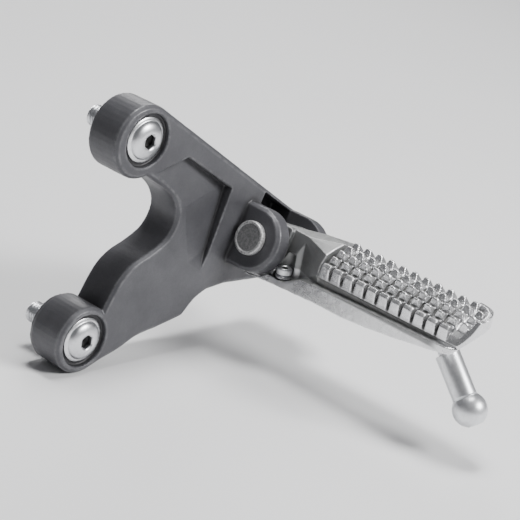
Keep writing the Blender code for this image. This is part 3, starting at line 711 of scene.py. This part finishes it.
def make_washer():
    """A stamped washer with rounded corners."""
    along, across = about_axis(node_points("pin_washer"), HINGE.translation, hinge_z)
    inner, outer = across.min(), across.max()
    low, high = along.min(), along.max()
    middle = (low + high) / 2
    profile = [
        (inner, middle),
        (inner, low),
        (outer, low),
        (outer, high),
        (inner, high),
        (inner, middle),
    ]
    rings = filleted(profile, 0.28 * MM)[:-1]
    washer = lathe("washer", rings, HINGE, ZINC, "bracket", hoop=True)
    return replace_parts(washer, "pin_washer")


def make_wire(name, node, body, material):
    """A round wire from its CAD tube, smoothed to a true circle."""
    return cast_piece(name, node, body, material, WIRE_VOXEL, rounding=4)


def smooth_step(values, low, high):
    """0 at low and 1 at high, with a smooth rise between them. low may be the greater of the two."""
    share = np.clip((values - low) / (high - low), 0, 1)
    return share * share * (3 - 2 * share)


def eased_lug(points):
    """Draws the hinge lug's sides in a little. The CAD's clevis pocket has no gap beside the lug."""
    along, across = about_axis(points, HINGE.translation, hinge_z)
    lug = 1 - smooth_step(across, *LUG_REACH)
    middle = (along[lug > 0.5].min() + along[lug > 0.5].max()) / 2
    return points - (lug * (along - middle) * LUG_EASE)[:, None] * np.array(hinge_z)


def rubbed_peg(points, normals, height):
    """Boots keep the tread and the tip bright, and the flange's front face is machined."""
    outboard, down = -points[:, 1], -points[:, 2]
    tread = smooth_step(outboard, *TREAD_INBOARD_END) * (1 - smooth_step(down, *TREAD_FOOT))
    tread *= smooth_step(height, -0.75, 0.1)
    flange = smooth_step(down, *FLANGE_TOP) * smooth_step(-normals[:, 0], 0.5, 0.85)
    flange *= 0.8 + 0.2 * smooth_step(outboard, *FLANGE_UNDER_EAR)
    from_tip = -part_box("peg_casting")[0].y - outboard
    tip = smooth_step(from_tip, *TIP_RUBBED)
    return np.clip(np.maximum(np.maximum(tread, flange), tip), 0, 1)


def dirt_and_shade_peg(points, normals, height):
    """Where dirt and painted shade darken the hollows: most between the teeth, less in the rest of the
    casting.
    """
    outboard, down = -points[:, 1], -points[:, 2]
    start, end = TREAD_INBOARD_END
    tread = smooth_step(outboard, start, end - MM) * (1 - smooth_step(down, *BLOCKS_FOOT))
    return 0.2 + 0.8 * tread * (1 - 0.8 * smooth_step(outboard, *TIP_RIM))


def make_pieces():
    cast_piece(
        "bracket_casting",
        "hanger_bracket",
        "bracket",
        DARK_CAST,
        voxel=BRACKET_VOXEL,
        rounding=6,
        waviness=WAVINESS,
        wave_size=5 * MM,
    )
    cast_piece(
        "peg_body",
        "peg_casting",
        "peg",
        BRIGHT_CAST,
        voxel=PEG_VOXEL,
        rounding=3,
        waviness=WAVINESS,
        wave_size=3 * MM,
        marks={"rubbed": rubbed_peg, "dirt_and_shade_mask": dirt_and_shade_peg},
        ease=eased_lug,
    )
    for label in ("upper", "lower"):
        make_mount_bolt(label)
    make_clevis_pin()
    make_washer()
    make_feeler()
    make_spring_screw()
    make_wire("split_pin_wire", "split_pin", "bracket", ZINC)
    spring = make_wire("torsion_spring", "return_spring", None, SPRING_STEEL)
    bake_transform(spring)


# ---------------------------------------------------------------- stage, light and camera


def make_floor(height):
    g = Graph("pale_floor", 0.0, 0.3)
    cloud = g.ramp(g.noise(0.3, 2), 0.3, 0.7)
    g.link("Base Color", g.mix(cloud, (0.88, 0.88, 0.885), (0.90, 0.90, 0.905)))
    g.shader.inputs["Roughness"].default_value = 0.8
    signs = ((-1, -1), (1, -1), (1, 1), (-1, 1))
    corners = [(FLOOR_REACH * x, FLOOR_REACH * y, height) for x, y in signs]
    mesh = bpy.data.meshes.new("floor")
    mesh.from_pydata(corners, [], [(0, 1, 2, 3)])
    mesh.materials.append(g.material)
    floor = bpy.data.objects.new("floor", mesh)
    bpy.context.scene.collection.objects.link(floor)


def make_light(name, place, target, power, size):
    data = bpy.data.lights.new(name, "AREA")
    data.shape = "RECTANGLE"
    data.size, data.size_y = size
    data.energy = power
    light = bpy.data.objects.new(name, data)
    light.location = place
    light.rotation_mode = "QUATERNION"
    light.rotation_quaternion = (Vector(target) - Vector(place)).to_track_quat("-Z", "Y")
    bpy.context.scene.collection.objects.link(light)


def make_lights(centre):
    world = bpy.data.worlds.new("studio")
    world.use_nodes = True
    background = world.node_tree.nodes["Background"]
    background.inputs["Color"].default_value = SURROUND
    background.inputs["Strength"].default_value = SURROUND_STRENGTH
    bpy.context.scene.world = world
    for name, (offset, power, size) in LIGHTS.items():
        make_light(name, centre + Vector(offset), centre, power, size)


def make_camera():
    """Stands where the photo was taken from, faces the object's middle and fills the frame with it."""
    points = np.concatenate([node_points(node) for node in frame["nodes"]])
    aim = Vector((points.min(axis=0) + points.max(axis=0)) / 2)
    for _ in range(4):
        look = (aim - CAMERA_PLACE).normalized()
        right = look.cross(CAMERA_UP).normalized()
        up = right.cross(look)
        away = points - np.array(CAMERA_PLACE)
        depth = away @ np.array(look)
        flat = np.stack([away @ np.array(right), away @ np.array(up)], axis=1) / depth[:, None]
        middle = (flat.min(axis=0) + flat.max(axis=0)) / 2
        half = (flat.max(axis=0) - flat.min(axis=0)).max() / 2
        reach = (aim - CAMERA_PLACE).length
        aim = aim + (right * middle[0] + up * middle[1]) * reach
    camera = bpy.data.cameras.new("camera")
    camera.sensor_width = 36.0
    camera.lens = camera.sensor_width / 2 / half * FRAME_FILL
    camera.clip_start = 0.01
    obj = bpy.data.objects.new("camera", camera)
    turn = Matrix((right, up, -look)).transposed()
    obj.matrix_world = Matrix.Translation(CAMERA_PLACE) @ turn.to_4x4()
    bpy.context.scene.collection.objects.link(obj)
    bpy.context.scene.camera = obj


make_pieces()
low, high = cad_box
make_floor(low.z - FLOOR_GAP)
make_lights((low + high) / 2)
make_camera()
